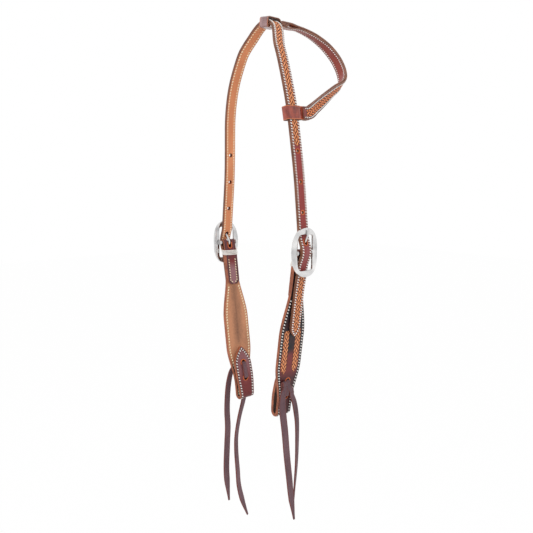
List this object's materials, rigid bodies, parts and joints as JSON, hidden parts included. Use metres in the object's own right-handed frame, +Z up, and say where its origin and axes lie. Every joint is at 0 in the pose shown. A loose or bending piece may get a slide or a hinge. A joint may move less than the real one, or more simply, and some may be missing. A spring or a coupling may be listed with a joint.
{
  "type": "western headstall",
  "caption": "Western one-ear leather headstall: doubled crown over the poll, sliding ear piece, oval cart buckles, flared cheeks folded at the bit end and tied with lace.",
  "frame": {"origin": "under the crown's lining at the middle of the poll, where the horse's head or a hook carries it", "axes": "+X to the horse's right, +Y forward to the horse's face, +Z up"},
  "size_m": [0.184, 0.1447, 0.7232],
  "materials": {
    "crown_grain": "basket-tooled, oiled, semi-gloss",
    "crown_flesh": "flesh side, matte",
    "ear_grain": "basket-tooled, oiled, semi-gloss",
    "ear_flesh": "plain burgundy, satin",
    "ear_loop_leather": "plain burgundy, glossy",
    "nickel": "polished nickel plate",
    "bar_steel": "plain bright steel",
    "cheek_grain": "burgundy, tooled, semi-gloss",
    "cheek_flesh": "suede flesh side, matte",
    "waxed_thread": "waxed linen thread",
    "latigo": "dark oiled latigo, matte"
  },
  "bodies": {
    "crown": {"crown_outer": "crown_grain", "crown_lining": "crown_flesh"},
    "ear_piece": {"ear_outer": "ear_grain", "ear_lining": "ear_flesh", "ear_upper_loop": "ear_loop_leather", "ear_lower_loop": "ear_loop_leather"},
    "right_buckle": {"right_buckle_frame": "nickel", "right_buckle_bar": "bar_steel"},
    "right_tongue": {"right_buckle_tongue": "nickel"},
    "right_cheek": {"right_cheek_outer": "cheek_grain", "right_cheek_lining": "cheek_flesh", "right_bar_tie": "waxed_thread", "right_tie_lace": "latigo", "right_lace_tail_front": "latigo", "right_lace_tail_back": "latigo"},
    "left_buckle": {"left_buckle_frame": "nickel", "left_buckle_bar": "bar_steel"},
    "left_tongue": {"left_buckle_tongue": "nickel"},
    "left_cheek": {"left_cheek_outer": "cheek_grain", "left_cheek_lining": "cheek_flesh", "left_bar_tie": "waxed_thread", "left_tie_lace": "latigo", "left_lace_tail_front": "latigo", "left_lace_tail_back": "latigo"}
  },
  "joints": [
    {"name": "ear_slide", "type": "hinge", "parent": "crown", "child": "ear_piece", "pos_m": [-0.01584, 0, -0.13161], "axis": [0, 1, 0], "range_deg": [-2.5, 1.7]},
    {"name": "right_buckle_tilt", "type": "hinge", "parent": "crown", "child": "right_buckle", "pos_m": [0.07932, -0.01, -0.2915], "axis": [0, 1, 0], "range_deg": [-0.5, 1]},
    {"name": "right_tongue_lift", "type": "hinge", "parent": "right_buckle", "child": "right_tongue", "pos_m": [0.07932, -0.01, -0.2915], "axis": [0, 1, 0], "range_deg": [0, 3]},
    {"name": "right_cheek_swing", "type": "hinge", "parent": "crown", "child": "right_cheek", "pos_m": [0.07932, -0.01, -0.2915], "axis": [0, 1, 0], "range_deg": [0, 8]},
    {"name": "left_buckle_tilt", "type": "hinge", "parent": "crown", "child": "left_buckle", "pos_m": [-0.07932, -0.01, -0.2915], "axis": [0, -1, 0], "range_deg": [-0.5, 1]},
    {"name": "left_tongue_lift", "type": "hinge", "parent": "left_buckle", "child": "left_tongue", "pos_m": [-0.07932, -0.01, -0.2915], "axis": [0, -1, 0], "range_deg": [0, 3]},
    {"name": "left_cheek_swing", "type": "hinge", "parent": "crown", "child": "left_cheek", "pos_m": [-0.07932, -0.01, -0.2915], "axis": [0, -1, 0], "range_deg": [0, 8]}
  ]
}
